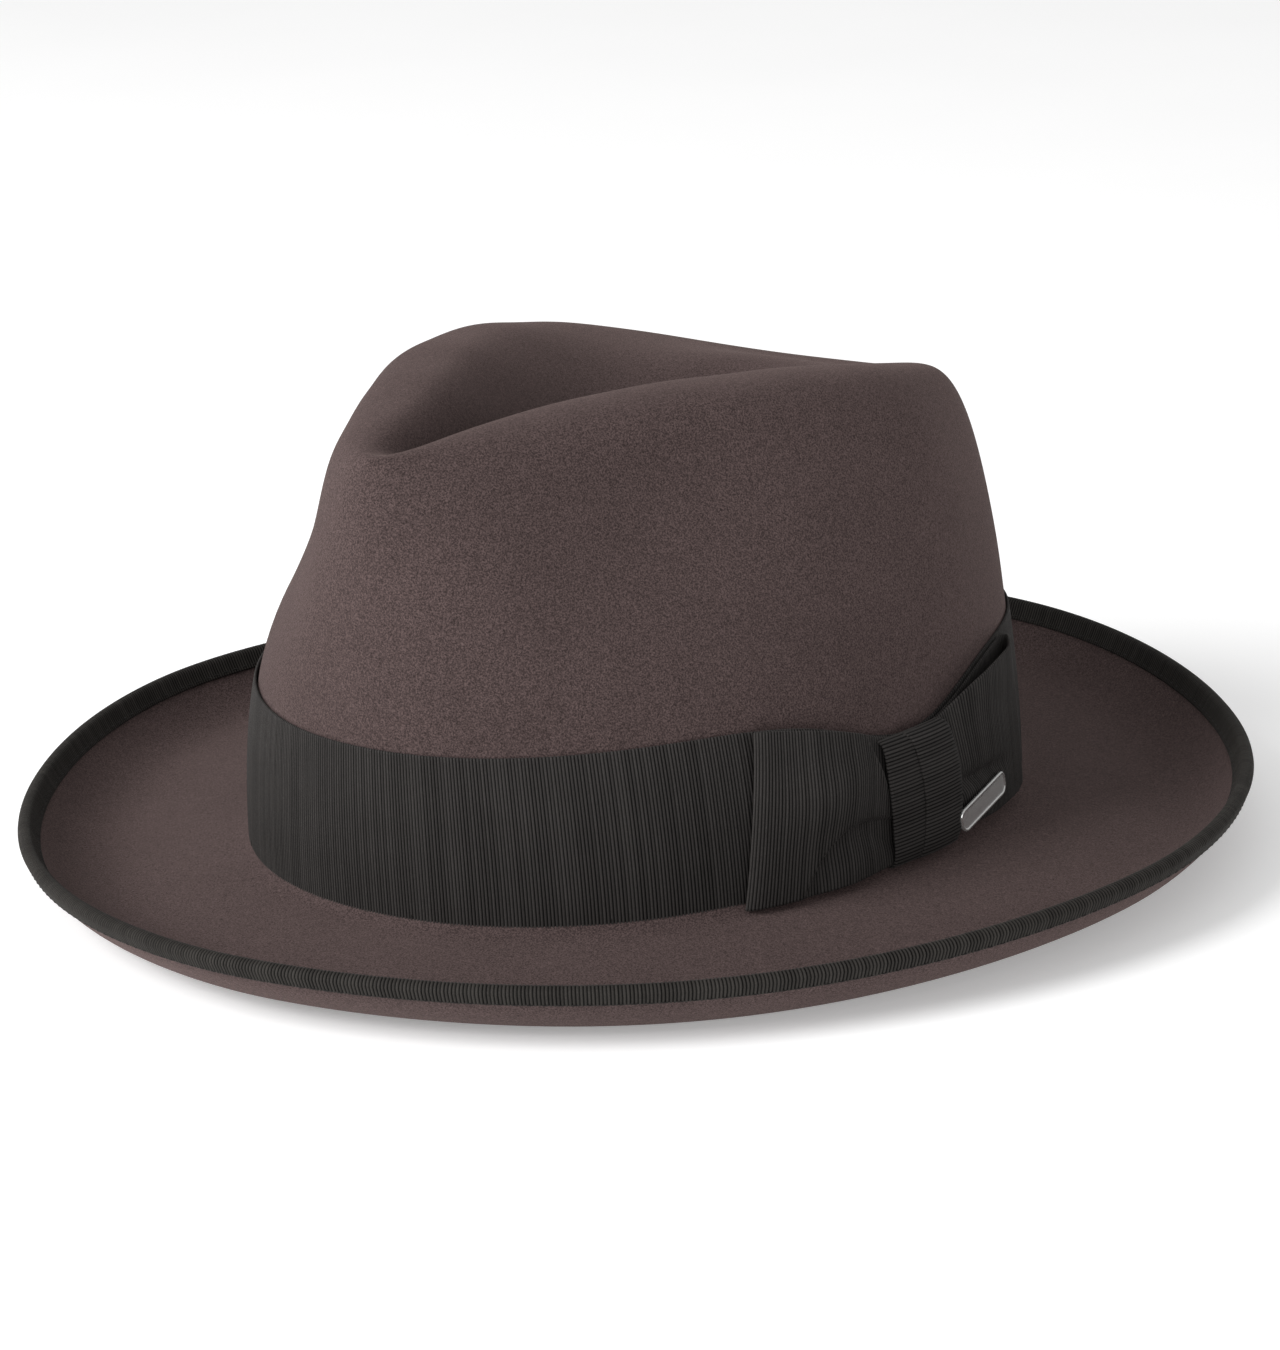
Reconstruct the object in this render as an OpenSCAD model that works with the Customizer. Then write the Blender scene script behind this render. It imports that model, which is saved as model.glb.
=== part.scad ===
// Fedora hat with a teardrop crown, front pinches and a curled, ribbon-bound brim.
// +Z is up, the front of the hat looks along -Y and the wearer's left side is +X.
// The lowest line of the brim's underside lies at Z = 0.

/* [Crown] */
// Half width of the crown where it meets the brim
crown_half_w = 86; // [80:1:92]
// Half length of the crown where it meets the brim
crown_half_l = 100; // [94:1:108]
// Height of the crown's ridge above the brim at the sides
crown_h = 110; // [100:1:120]
// Depth of the teardrop dent below the ridge
dent_depth = 25; // [15:1:30]
// Depth of the two front pinches
pinch_depth = 13; // [6:0.5:14]
// Thickness of the felt
felt_t = 2; // [1.6:0.1:2.4]

/* [Brim] */
// Half width of the brim
brim_half_w = 148.8; // [144:0.2:156]
// Half length of the brim
brim_half_l = 151.6; // [148:0.2:160]
// Radius of the upward curl at the brim's edge
curl_r = 19.5; // [15:0.5:22]
// Angle that the curl turns through
curl_angle = 68; // [55:1:72]

/* [Ribbons] */
// Width of the hatband ribbon
band_w = 40; // [35:1:45]
// Thickness of the grosgrain ribbon
ribbon_t = 0.5; // [0.4:0.05:0.6]
// Width of the binding on the brim's upper face
binding_w = 4.2; // [3.5:0.1:6]
// Width of the binding on the brim's underside
binding_under_w = 2.8; // [2.4:0.1:5]
// Angle from the front to the front fold of the bow
bow_front_deg = 57.5; // [54:0.5:62]
// Angle from the front to the middle of the bow's knot
knot_deg = 85; // [84:0.5:88]
// Angle from the front to the rear fold of the bow
bow_rear_deg = 114; // [112:0.5:118]

/* [Badge] */
// Length of the metal badge
badge_l = 22; // [18:1:24]
// Height of the metal badge
badge_h = 6; // [4:0.1:7]
// Thickness of the metal badge
badge_t = 0.8; // [0.6:0.1:1.2]

/* [Inside] */
// Height of the leather sweatband
sweat_h = 31; // [26:1:36]
// Thickness of the leather
sweat_t = 1; // [0.8:0.1:1.2]
// Diameter of the plastic reed in the sweatband's lower edge
reed_d = 1.4; // [1:0.1:1.6]
// Thickness of the satin lining
lining_t = 0.4; // [0.3:0.1:0.5]

/* [Hidden] */

// Meridians round the hat, and rows on each stretch of a meridian
columns = 48;
step_deg = 360 / columns;
dent_rows = 6;
wall_rows = 11;
curl_rows = 5;

// Oval outlines: the crown is a little squarer than an ellipse and the brim a little more pointed
crown_power = 2.11;
brim_power = 1.86;
// The crown stands a little behind the brim's middle
crown_shift = 1.8;

// Height of the brim's edge above the crown's foot, round the hat
edge_mean = 7.6;
edge_side_wave = 0.5;
edge_corner_wave = 1.1;
edge_front_drop = 2;
foot_wave = 1;
foot_drop = 0.8;
foot_fillet = 4;
curl_rise = curl_r * (1 - cos(curl_angle));
curl_reach = curl_r * sin(curl_angle);
// The brim's underside is lowest at its two front corners
edge_lowest = min([for (j = [0:columns - 1]) edge_wave(j * step_deg)]);
foot_z = felt_t + curl_rise - edge_lowest - edge_mean;

// Crown profile: a superellipse between the foot and the rim of the teardrop, rounder in front
wall_power = 3.2;
wall_front_round = 0.7;
rise_power = 1.5;
rim_w = 43;
rim_taper = 0.6;
rim_mid_y = -3.5;
rim_half_l = 86;
rim_end_pull = -1.2;
rim_front_rise = 7.4;
rim_side_rise = 6.1;
pinch_deg = 56;
pinch_spread_deg = 30;
pinch_h = 84;
pinch_spread_h = 27;

// Keel line along the bottom of the dent, and the lip that closes the dent behind
keel_mid_y = -9;
keel_half_l = 39;
dent_power = 1.7;
keel_tilt = 2.5;
back_lip = 7;

// Clear gaps between layers
gap = 0.15;
band_in = gap;
band_out = band_in + ribbon_t;
// Layers of the bow, outwards from the felt
knot_back = band_out + gap;
loop_back = knot_back + ribbon_t + gap;
loop_front = loop_back + ribbon_t + 1.6;
knot_front = loop_front + ribbon_t + 0.5;
// How far the hatband and the bow narrow at the knot
band_dip = 10.8;
dip_spread = 16;
dip_shift_deg = 1.2;
knot_half_deg = 6.8;
// How the front fold leans, in degrees for each mm of height, and how far the rear loop's foot rises
fold_lean = 0.11;
rear_rise = 3.2;
// Badge: place on the rear loop
badge_deg = 97;
badge_z = 7.3;
badge_tilt = -12;
badge_bend_r = 95;
// Layers inside the crown, inwards from the felt's outer face
lining_in = felt_t + 0.3;
sweat_in = lining_in + lining_t + 1.1;

felt_grey = [0.32, 0.27, 0.27];
ribbon_grey = [0.18, 0.17, 0.17];
leather_brown = [0.36, 0.22, 0.14];
satin_grey = [0.45, 0.42, 0.42];

// ---- Vectors ----
function unit(v) = v / norm(v);
function mix(a, b, k) = a + (b - a) * k;
function flat(rows) = [for (row = rows) each row];

// ---- Outlines: t is the angle from the front, towards the wearer's left ----
function oval(t, half_w, half_l, power) =
    let (r = pow(pow(abs(cos(t)), power) + pow(abs(sin(t)), power), -1 / power))
    [half_w * r * sin(t), -half_l * r * cos(t)];
function foot_xy(t) = oval(t, crown_half_w, crown_half_l, crown_power) + [0, crown_shift];
function edge_xy(t) = oval(t, brim_half_w, brim_half_l, brim_power);
function foot_height(t) = foot_z - foot_wave * cos(2 * t);
function edge_wave(t) =
    edge_side_wave * cos(2 * t) + edge_corner_wave * cos(4 * t) - edge_front_drop * cos(t);
function edge_height(t) = foot_z + edge_mean + edge_wave(t);

// ---- Crown ----
function rim_xy(t) = [
    rim_w * sin(t) * (1 - rim_taper * cos(t)),
    crown_shift + rim_mid_y - rim_half_l * cos(t) + rim_end_pull * cos(2 * t)
];
function rim_height(t) =
    foot_z + crown_h - rim_side_rise + rim_front_rise * cos(t) - rim_side_rise * cos(2 * t);
function angle_off_front(t) = abs(t > 180 ? t - 360 : t);
function bell(x) = exp(-x * x);
function pinch(t, h) =
    pinch_depth * bell((angle_off_front(t) - pinch_deg) / pinch_spread_deg) * bell((h - pinch_h) / pinch_spread_h);
// Point of the crown's wall at height h above its foot
function wall(t, h) =
    let (
        turn = (t + 360) % 360,
        full = rim_height(turn) - foot_height(turn),
        power = wall_power - wall_front_round * pow(max(0, cos(turn)), 2),
        k = pow(max(0, 1 - pow(max(0, h) / full, rise_power)), 1 / power),
        foot = foot_xy(turn),
        xy = mix(rim_xy(turn), foot, k),
        out = unit([foot.x / pow(crown_half_w, 2), (foot.y - crown_shift) / pow(crown_half_l, 2)]),
        pushed = xy - out * pinch(turn, h)
    )
    [pushed.x, pushed.y, foot_height(turn) + h];
// The wall moved outwards by d
function wall_off(t, h, d) =
    let (
        across = wall(t + 1, h) - wall(t - 1, h),
        rise = wall(t, h + 1) - wall(t, max(0, h - 1))
    )
    wall(t, h) + unit(cross(across, rise)) * d;

// ---- Dent ----
function keel(t) = [
    0,
    crown_shift + keel_mid_y - keel_half_l * cos(t),
    foot_z + crown_h - dent_depth + keel_tilt * pow(cos(t), 2)
];
function dent(t, s) =
    let (
        top = rim_height(t),
        rim = wall(t, top - foot_height(t)),
        drop = pow(sin(90 * s), dent_power),
        lip = back_lip * pow((1 - cos(t)) / 2, 4) * pow(sin(180 * s), 2)
    )
    [
        mix(rim.x, 0, s),
        mix(rim.y, keel(t).y, s),
        mix(top, keel(t).z, drop) + lip
    ];

// ---- Brim: distance q outwards from the foot, height z ----
function brim_width(t) = norm(edge_xy(t) - foot_xy(t));
function brim_at(t, q, z) =
    let (xy = foot_xy(t) + unit(edge_xy(t) - foot_xy(t)) * q)
    [xy.x, xy.y, z];
// Point of the curl at angle a, raised by d above the upper face
function curl(t, a, d) =
    brim_at(
        t,
        brim_width(t) - curl_reach + (curl_r - d) * sin(a),
        edge_height(t) - curl_rise + curl_r - (curl_r - d) * cos(a)
    );

// ---- One meridian of the felt's outer face, from the keel to the brim's edge ----
function meridian(t) =
    let (
        full = rim_height(t) - foot_height(t),
        fillet_z = foot_height(t) - foot_drop,
        curl_q = brim_width(t) - curl_reach
    )
    concat(
        [for (i = [0:dent_rows - 1]) dent(t, 1 - i / dent_rows)],
        [for (i = [0:wall_rows - 1]) wall(t, full * pow(sin(90 * (1 - pow(i / wall_rows, 1.6))), 2 / rise_power))],
        [for (a = [0:30:60]) brim_at(
            t, foot_fillet * (1 - cos(a)), fillet_z + foot_fillet * (1 - sin(a)))],
        [for (k = [0, 0.45]) brim_at(
            t, mix(foot_fillet, curl_q, k), mix(fillet_z, edge_height(t) - curl_rise, k))],
        [for (i = [0:curl_rows]) curl(t, curl_angle * i / curl_rows, 0)]
    );
skin_grid = [for (j = [0:columns - 1]) meridian(j * step_deg)];
rows = len(skin_grid[0]);

// Outward direction of the felt at column j and row i
function grid_at(j, i) = skin_grid[(j + columns) % columns][i];
function side_normal(j, i) =
    unit(cross(
        grid_at(j + 1, i) - grid_at(j - 1, i),
        grid_at(j, max(1, i - 1)) - grid_at(j, min(rows - 1, i + 1))
    ));
function felt_normal(j, i) =
    i == 0 ? unit(side_normal(j, 1) + side_normal(columns - j, 1)) : side_normal(j, i);
function felt_face(depth, first, last) =
    [for (j = [0:columns - 1]) [for (i = [first:last]) grid_at(j, i) - felt_normal(j, i) * depth]];

// ---- Solids between two matching grids of points ----
function quad(a, b, c, d) = [[a, b, c], [a, c, d]];
// wrap joins the last column to the first; keel joins the two sides along row 0
module sheet(outer, inner, wrap = false, keel = false) {
    n = len(outer);
    m = len(outer[0]);
    function id(side, j, i) =
        let (column = j % n, shared = keel && i == 0 ? min(column, n - column) : column)
        side * n * m + shared * m + i;
    last = wrap ? n - 1 : n - 2;
    polyhedron(
        points = concat(flat(outer), flat(inner)),
        faces = concat(
            [for (j = [0:last], i = [0:m - 2])
                each quad(id(0, j, i), id(0, j, i + 1), id(0, j + 1, i + 1), id(0, j + 1, i))],
            [for (j = [0:last], i = [0:m - 2])
                each quad(id(1, j, i), id(1, j + 1, i), id(1, j + 1, i + 1), id(1, j, i + 1))],
            [for (j = [0:last])
                each quad(id(0, j, m - 1), id(1, j, m - 1), id(1, j + 1, m - 1), id(0, j + 1, m - 1))],
            [for (j = keel ? [] : [0:last])
                each quad(id(0, j, 0), id(0, j + 1, 0), id(1, j + 1, 0), id(1, j, 0))],
            [for (i = wrap ? [] : [0:m - 2])
                each quad(id(0, 0, i), id(1, 0, i), id(1, 0, i + 1), id(0, 0, i + 1))],
            [for (i = wrap ? [] : [0:m - 2])
                each quad(id(0, n - 1, i), id(0, n - 1, i + 1), id(1, n - 1, i + 1), id(1, n - 1, i))]
        ),
        convexity = 6
    );
}
// Many short thread bars in one go: each has four outer and four inner corners
module bars(list) {
    polyhedron(
        points = flat(list),
        faces = [for (b = [0:len(list) - 1]) each [for (f = [
            [0, 1, 2], [0, 2, 3], [4, 6, 5], [4, 7, 6], [0, 4, 5], [0, 5, 1],
            [1, 5, 6], [1, 6, 2], [2, 6, 7], [2, 7, 3], [3, 7, 4], [3, 4, 0]
        ]) [for (v = f) v + 8 * b]]],
        convexity = 4
    );
}
// Band round the wall between heights low and high, from offset outer_d to inner_d
module wall_hoop(heights, outer_d, inner_d) {
    function face(d) = [for (j = [0:columns - 1]) [for (k = [len(heights) - 1:-1:0])
        wall_off(j * step_deg, heights[k], d)]];
    sheet(face(outer_d), face(inner_d), wrap = true);
}

// ---- Felt and binding ----
module felt_body() {
    color(felt_grey)
        sheet(felt_face(0, 0, rows - 1), felt_face(felt_t, 0, rows - 1), wrap = true, keel = true);
}
// The ribbon's section: down the upper face, round the edge and back under the brim
binding_turn = binding_w / curl_r * 180 / PI;
under_turn = binding_under_w / (curl_r + felt_t) * 180 / PI;
edge_turn = 0.25 / curl_r * 180 / PI;
function binding_face(skin) =
    let (
        up = gap + skin,
        down = -felt_t - gap - skin,
        past = curl_angle + edge_turn + skin / curl_r * 180 / PI,
        a0 = curl_angle - binding_turn
    )
    [for (j = [0:columns - 1]) [for (p = [
        [a0, up], [curl_angle - binding_turn / 2, up], [curl_angle, up], [past, up - skin],
        [past, down + skin], [curl_angle, down], [curl_angle - under_turn / 2, down],
        [curl_angle - under_turn, down]
    ]) curl(j * step_deg, p[0], p[1])]];
module brim_binding() {
    color(ribbon_grey) sheet(binding_face(ribbon_t), binding_face(0), wrap = true);
}
module binding_stitches() {
    stitch_deg = 2.4;
    stitch_w = 1.2;
    stitch_in = 2.4;
    function bar(t, a, face, out) = [
        curl(t, a + stitch_w, face + out), curl(t + stitch_deg, a + stitch_w, face + out),
        curl(t + stitch_deg, a - stitch_w, face + out), curl(t, a - stitch_w, face + out),
        curl(t, a + stitch_w, face), curl(t + stitch_deg, a + stitch_w, face),
        curl(t + stitch_deg, a - stitch_w, face), curl(t, a - stitch_w, face)
    ];
    top = gap + ribbon_t + 0.1;
    color("black") {
        bars([for (t = [0:7.5:359]) bar(t, curl_angle - binding_turn + stitch_in, top, 0.3)]);
        bars([for (t = [0:7.5:359]) bar(t, curl_angle - under_turn + stitch_in, -felt_t - top - 0.3, 0.3)]);
    }
}

// ---- Hatband and bow ----
// The hatband is gathered at the knot, so its edges draw in there
function knot_pull(t) = bell((t - knot_deg - dip_shift_deg) / dip_spread);
function band_top(t) = band_w - band_dip * knot_pull(t);
function band_low(t) = 0.4 + 1.2 * knot_pull(t);
module hatband_ribbon() {
    function face(d) = [for (j = [0:columns - 1]) [for (k = [4:-1:0])
        let (t = j * step_deg)
        wall_off(t, mix(band_low(t), band_top(t), k / 4), d)]];
    color(ribbon_grey) sheet(face(band_out), face(band_in), wrap = true);
}
// A loop of ribbon: out along the felt to the fold and back over itself to the knot
// steps are [angle, distance from the felt] along the ribbon's middle; the fold leans, and its foot may rise
module bow_loop(steps, fold, inset, lean, foot_rise) {
    n = len(steps);
    function near_fold(k) = 1 - min(1, abs(steps[k][0] - fold) / abs(knot_deg - fold));
    function mid(k, h) = wall_off(steps[k][0] + lean * near_fold(k) * (h - 20), h, steps[k][1]);
    function along(k, h) = unit(mid(min(n - 1, k + 1), h) - mid(max(0, k - 1), h));
    function side(k, h) = unit(cross(along(k, h), [0, 0, 1])) * ribbon_t / 2;
    function low(k) = band_low(steps[k][0]) + inset + foot_rise * near_fold(k);
    function high(k) = band_top(steps[k][0]) - inset;
    function face(s) = [for (k = [0:n - 1]) [for (v = [3:-1:0])
        let (h = mix(low(k), high(k), v / 3))
        mid(k, h) + side(k, h) * s]];
    color(ribbon_grey) sheet(face(1), face(-1));
}
module bow_front_loop() {
    fold = bow_front_deg;
    back = loop_back + ribbon_t / 2;
    front = loop_front + ribbon_t / 2;
    bow_loop([
        [knot_deg - 1.5, back], [knot_deg - 10, back], [knot_deg - 19, back], [fold + 2, back],
        [fold + 0.6, back + 0.5], [fold + 0.2, mix(back, front, 0.5)], [fold + 0.6, front - 0.5],
        [fold + 2, front + 0.1], [knot_deg - 22, front + 0.6], [knot_deg - 15, front + 0.8],
        [knot_deg - 9, front], [knot_deg - 1.5, front]
    ], fold, 0.4, fold_lean, 0);
}
module bow_rear_loop() {
    fold = bow_rear_deg;
    back = loop_back + ribbon_t / 2;
    front = loop_front + ribbon_t / 2;
    bow_loop([
        [knot_deg + 1.5, front], [knot_deg + 9, front], [knot_deg + 13, front + 1.2], [knot_deg + 19, front + 1.9],
        [fold - 5, front + 1.6], [fold - 2, front + 0.8], [fold - 0.6, front - 0.4],
        [fold - 0.2, mix(back, front, 0.5)], [fold - 0.6, back + 0.5], [fold - 2, back], [knot_deg + 20, back],
        [knot_deg + 10, back], [knot_deg + 1.5, back]
    ], fold, 0.4, 0, rear_rise);
}
// The knot: a ribbon wrapped over the middle of the bow and down behind it
module bow_knot() {
    low = band_low(knot_deg) - 1;
    high = band_top(knot_deg) + 0.8;
    back = knot_back + ribbon_t / 2;
    front = knot_front + ribbon_t / 2;
    path = [
        [low + 6, back], [high - 1.2, back], [high - 0.3, mix(back, front, 0.3)], [high - 0.3, mix(back, front, 0.7)],
        [high - 1.2, front], [mix(low, high, 0.5), front + 0.3], [low + 1.2, front],
        [low + 0.3, mix(back, front, 0.7)], [low + 0.3, mix(back, front, 0.3)], [low + 1.2, back], [low + 5, back]
    ];
    n = len(path);
    function mid(t, k) = wall_off(t, path[k][0], path[k][1]);
    function side(t, k) =
        unit(cross(mid(t, min(n - 1, k + 1)) - mid(t, max(0, k - 1)), wall(t + 1, 20) - wall(t - 1, 20)))
        * ribbon_t / 2;
    function face(s) = [for (k = [0:n - 1]) [for (u = [-1, -0.5, 0, 0.5, 1])
        let (t = knot_deg + u * knot_half_deg)
        mid(t, k) + side(t, k) * s]];
    color(ribbon_grey) sheet(face(1), face(-1));
}
// Short thread tacks that hold the ribbon's lower edge to the felt
module ribbon_tacks() {
    tack_deg = 0.25;
    tack_h = 2.6;
    function bar(t) = [for (d = [band_out + 0.35, band_out + 0.05]) each [
        wall_off(t - tack_deg, 0.8 + tack_h, d), wall_off(t + tack_deg, 0.8 + tack_h, d),
        wall_off(t + tack_deg, 0.8, d), wall_off(t - tack_deg, 0.8, d)
    ]];
    color("black") bars([for (t = [7.5, 37.5, 142.5, 187.5, 232.5, 277.5, 322.5]) bar(t)]);
}

// ---- Badge: a small plain plate with round ends, bent to the ribbon ----
module at_badge() {
    spot = wall_off(badge_deg, badge_z, loop_front + ribbon_t + 2.15);
    ahead = wall_off(badge_deg + 1, badge_z, 0) - wall_off(badge_deg - 1, badge_z, 0);
    translate(spot) rotate([0, 0, atan2(ahead.y, ahead.x)]) rotate([0, badge_tilt, 0]) children();
}
module pill(length, height, r) {
    translate([-(length / 2 - r), -height / 2]) square([length - 2 * r, height]);
    translate([-length / 2, -(height / 2 - r)]) square([length, height - 2 * r]);
    for (x = [-1, 1], y = [-1, 1]) translate([x * (length / 2 - r), y * (height / 2 - r)]) circle(r = r, $fn = 32);
}
module badge_plate() {
    corner_r = 2.4;
    color("silver") at_badge() intersection() {
        translate([0, 3, 0]) rotate([90, 0, 0]) linear_extrude(8) pill(badge_l, badge_h, corner_r);
        translate([0, badge_bend_r, -badge_h]) difference() {
            cylinder(r = badge_bend_r + badge_t, h = 2 * badge_h, $fn = 256);
            translate([0, 0, -1]) cylinder(r = badge_bend_r, h = 2 * badge_h + 2, $fn = 256);
        }
    }
}
// Two flat-headed rivets hold the badge from inside the loop
module badge_rivets() {
    rivet_x = badge_l / 2 - 3;
    inset = badge_bend_r - sqrt(pow(badge_bend_r, 2) - pow(rivet_x, 2));
    color("silver") at_badge() for (x = [-rivet_x, rivet_x])
        translate([x, inset + 0.85, 0]) rotate([-90, 0, 0]) cylinder(d = 2.4, h = 0.4, $fn = 24);
}

// ---- Sweatband ----
module sweatband() {
    color(leather_brown) wall_hoop([0, 10, 20, sweat_h], -sweat_in, -sweat_in - sweat_t);
}
// The reed runs round the lower edge of the sweatband
reed_depth = sweat_in + sweat_t / 2;
reed_drop = reed_d / 2 + 0.9;
function below_foot(t, drop, d) = wall_off(t, 0, d) - [0, 0, drop];
module ring_tube(r, drop, sides, arc, start) {
    function face(radius) = [for (j = [0:columns - 1]) [for (k = [0:sides])
        let (a = start + arc * k / sides)
        below_foot(j * step_deg, drop - radius * sin(a), -reed_depth + radius * cos(a))]];
    sheet(face(r[0]), face(r[1]), wrap = true);
}
module sweatband_reed() {
    sides = 8;
    function ring(j) = [for (k = [0:sides - 1])
        let (a = -360 * k / sides)
        below_foot(j * step_deg, reed_drop - reed_d / 2 * sin(a), -reed_depth + reed_d / 2 * cos(a))];
    points = [for (j = [0:columns - 1]) each ring(j)];
    function id(j, k) = (j % columns) * sides + k % sides;
    color("ivory") polyhedron(
        points = points,
        faces = [for (j = [0:columns - 1], k = [0:sides - 1])
            each quad(id(j, k), id(j, k + 1), id(j + 1, k + 1), id(j + 1, k))],
        convexity = 6
    );
}
// Cloth tape folded round the reed, open towards the sweatband
module reed_tape() {
    tape_r = reed_d / 2 + 0.1;
    color(ribbon_grey) ring_tube([tape_r + 0.3, tape_r], reed_drop, 8, -260, 40);
}
module sweatband_stitches() {
    stitch_deg = 1.8;
    stitch_h = 0.25;
    low = 2.5;
    function bar(t) = [for (d = [-sweat_in - sweat_t - 0.05, -sweat_in - sweat_t - 0.4]) each [
        wall_off(t, low + stitch_h, d), wall_off(t + stitch_deg, low + stitch_h, d),
        wall_off(t + stitch_deg, low - stitch_h, d), wall_off(t, low - stitch_h, d)
    ]];
    color("black") bars([for (t = [0:5:359]) bar(t)]);
}
function wall_patch(t0, t1, h0, h1, d, n) =
    [for (j = [0:n]) [for (k = [2:-1:0]) wall_off(mix(t0, t1, j / n), mix(h0, h1, k / 2), d)]];
// Tape behind the seam at the back, between leather and lining
module sweatband_seam_tape() {
    color(ribbon_grey)
        sheet(wall_patch(175, 185, 2, 26, -sweat_in + 0.5, 4), wall_patch(175, 185, 2, 26, -sweat_in + 0.2, 4));
}
// Flat ribbon bow at the back seam, on the leather's inner face
module sweatband_bow() {
    face = -sweat_in - sweat_t - 0.2;
    function loops(d) = [for (j = [0:8])
        let (x = j / 8 * 2 - 1, half = 1.6 + 3.2 * abs(x), t = 180 + 8 * x)
        [for (k = [1:-1:-1]) wall_off(t, 8 + k * half, d)]];
    color(ribbon_grey) {
        sheet(loops(face), loops(face - 1));
        sheet(wall_patch(178.4, 181.6, 5.4, 10.6, face - 1.1, 2), wall_patch(178.4, 181.6, 5.4, 10.6, face - 1.7, 2));
    }
}

// ---- Lining ----
tip_row = dent_rows + 3;
lining_foot_row = dent_rows + 10;
module lining_side() {
    color(satin_grey) sheet(
        felt_face(lining_in, tip_row, lining_foot_row),
        felt_face(lining_in + lining_t, tip_row, lining_foot_row),
        wrap = true
    );
}
module lining_tip() {
    // The tip stops just short of the side's upper edge
    function face(depth) = [for (j = [0:columns - 1]) concat(
        [for (i = [0:tip_row - 1]) grid_at(j, i) - felt_normal(j, i) * depth],
        [mix(grid_at(j, tip_row - 1) - felt_normal(j, tip_row - 1) * depth,
            grid_at(j, tip_row) - felt_normal(j, tip_row) * depth, 0.93)]
    )];
    color(satin_grey) sheet(face(lining_in), face(lining_in + lining_t), wrap = true, keel = true);
}
// Piping along the seam between the tip and the side
module lining_cord() {
    cord_r = 0.5;
    depth = lining_in + lining_t + cord_r + 0.1;
    function centre(j) = grid_at(j, tip_row) - felt_normal(j, tip_row) * depth;
    sides = 6;
    function ring(j) =
        let (u = felt_normal(j, tip_row), w = unit(cross(u, centre(j + 1) - centre(j - 1))))
        [for (k = [0:sides - 1]) centre(j) + (u * cos(60 * k) + w * sin(60 * k)) * cord_r];
    function id(j, k) = (j % columns) * sides + k % sides;
    color(satin_grey) polyhedron(
        points = [for (j = [0:columns - 1]) each ring(j)],
        faces = [for (j = [0:columns - 1], k = [0:sides - 1])
            each quad(id(j, k), id(j, k + 1), id(j + 1, k + 1), id(j + 1, k))],
        convexity = 6
    );
}
// Blank size label, tucked behind the sweatband's upper edge
module size_label() {
    color("white")
        sheet(wall_patch(196, 203, 24, 36, -sweat_in + 0.5, 3), wall_patch(196, 203, 24, 36, -sweat_in + 0.25, 3));
}

felt_body();
brim_binding();
binding_stitches();
hatband_ribbon();
bow_front_loop();
bow_rear_loop();
bow_knot();
badge_plate();
badge_rivets();
ribbon_tacks();
sweatband();
sweatband_reed();
reed_tape();
sweatband_stitches();
sweatband_seam_tape();
sweatband_bow();
lining_side();
lining_tip();
lining_cord();
size_label();
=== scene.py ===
"""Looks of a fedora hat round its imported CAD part: felt, grosgrain ribbons, bow, badge, leather and lining.
Shapes are worked out in millimetres, as in the CAD part, and turned into metres when a mesh is made.
t is the angle round the hat in degrees, 0 at the front (-Y) and 90 at the wearer's left (+X)."""
import math

import bmesh
import bpy
import numpy as np
from mathutils import Matrix, Vector


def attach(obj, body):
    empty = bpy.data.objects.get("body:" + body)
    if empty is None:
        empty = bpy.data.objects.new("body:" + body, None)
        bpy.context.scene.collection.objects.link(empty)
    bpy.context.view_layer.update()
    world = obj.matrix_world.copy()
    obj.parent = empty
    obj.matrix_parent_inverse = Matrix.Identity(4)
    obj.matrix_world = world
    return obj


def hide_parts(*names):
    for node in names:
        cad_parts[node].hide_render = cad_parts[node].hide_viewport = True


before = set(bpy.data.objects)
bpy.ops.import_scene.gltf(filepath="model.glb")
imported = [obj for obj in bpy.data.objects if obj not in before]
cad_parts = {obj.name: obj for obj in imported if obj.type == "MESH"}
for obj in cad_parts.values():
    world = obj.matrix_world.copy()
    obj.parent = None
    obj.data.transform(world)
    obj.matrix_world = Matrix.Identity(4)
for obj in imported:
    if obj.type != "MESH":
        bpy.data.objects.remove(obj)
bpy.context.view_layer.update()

# ---- Measures, in mm ----
CROWN_W, CROWN_L, CROWN_POWER, CROWN_Y = 86.0, 100.0, 2.11, 1.8
BRIM_W, BRIM_L, BRIM_POWER = 148.8, 151.6, 1.86
CROWN_H, DENT, PINCH, FELT = 110.0, 25.0, 13.0, 2.0
PINCH_DEG, PINCH_SPREAD_DEG, PINCH_Z, PINCH_SPREAD_Z = 56, 30, 84, 27
# The near pinch is pressed in a little more: how deep, where, and how far below the ridge
NEAR_PRESS, NEAR_DEG, NEAR_BELOW, NEAR_SPREAD_Z = 2.6, 68, 14, 8
WALL_POWER, WALL_FRONT_ROUND, WALL_RISE_POWER = 3.2, 0.7, 1.5
RIM_W, RIM_TAPER, RIM_MID_Y, RIM_L, RIM_END_PULL = 43, 0.6, 3.5, 86, 1.2
RIM_SIDE_RISE, RIM_FRONT_RISE = 6.1, 7.4
KEEL_MID_Y, KEEL_L, KEEL_TILT, DENT_POWER, BACK_LIP = 9, 39, 2.5, 1.7, 7
CURL_R, CURL_DEG = 19.5, 68.0
EDGE_RISE, SIDE_WAVE, CORNER_WAVE, FRONT_DROP = 7.6, 0.5, 1.1, 2.0
FILLET, FOOT_DROP = 4.0, 0.8
BAND_H, RIBBON, BINDING_W, BINDING_UNDER_W = 40.0, 0.5, 4.2, 2.8
RIB_PITCH, RIB_HEIGHT, BAND_GIRTH_Z = 0.81, 0.24, 18.0
FRONT_FOLD, KNOT, REAR_FOLD, KNOT_HALF = 57.4, 85.0, 113.8, 6.8
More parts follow.
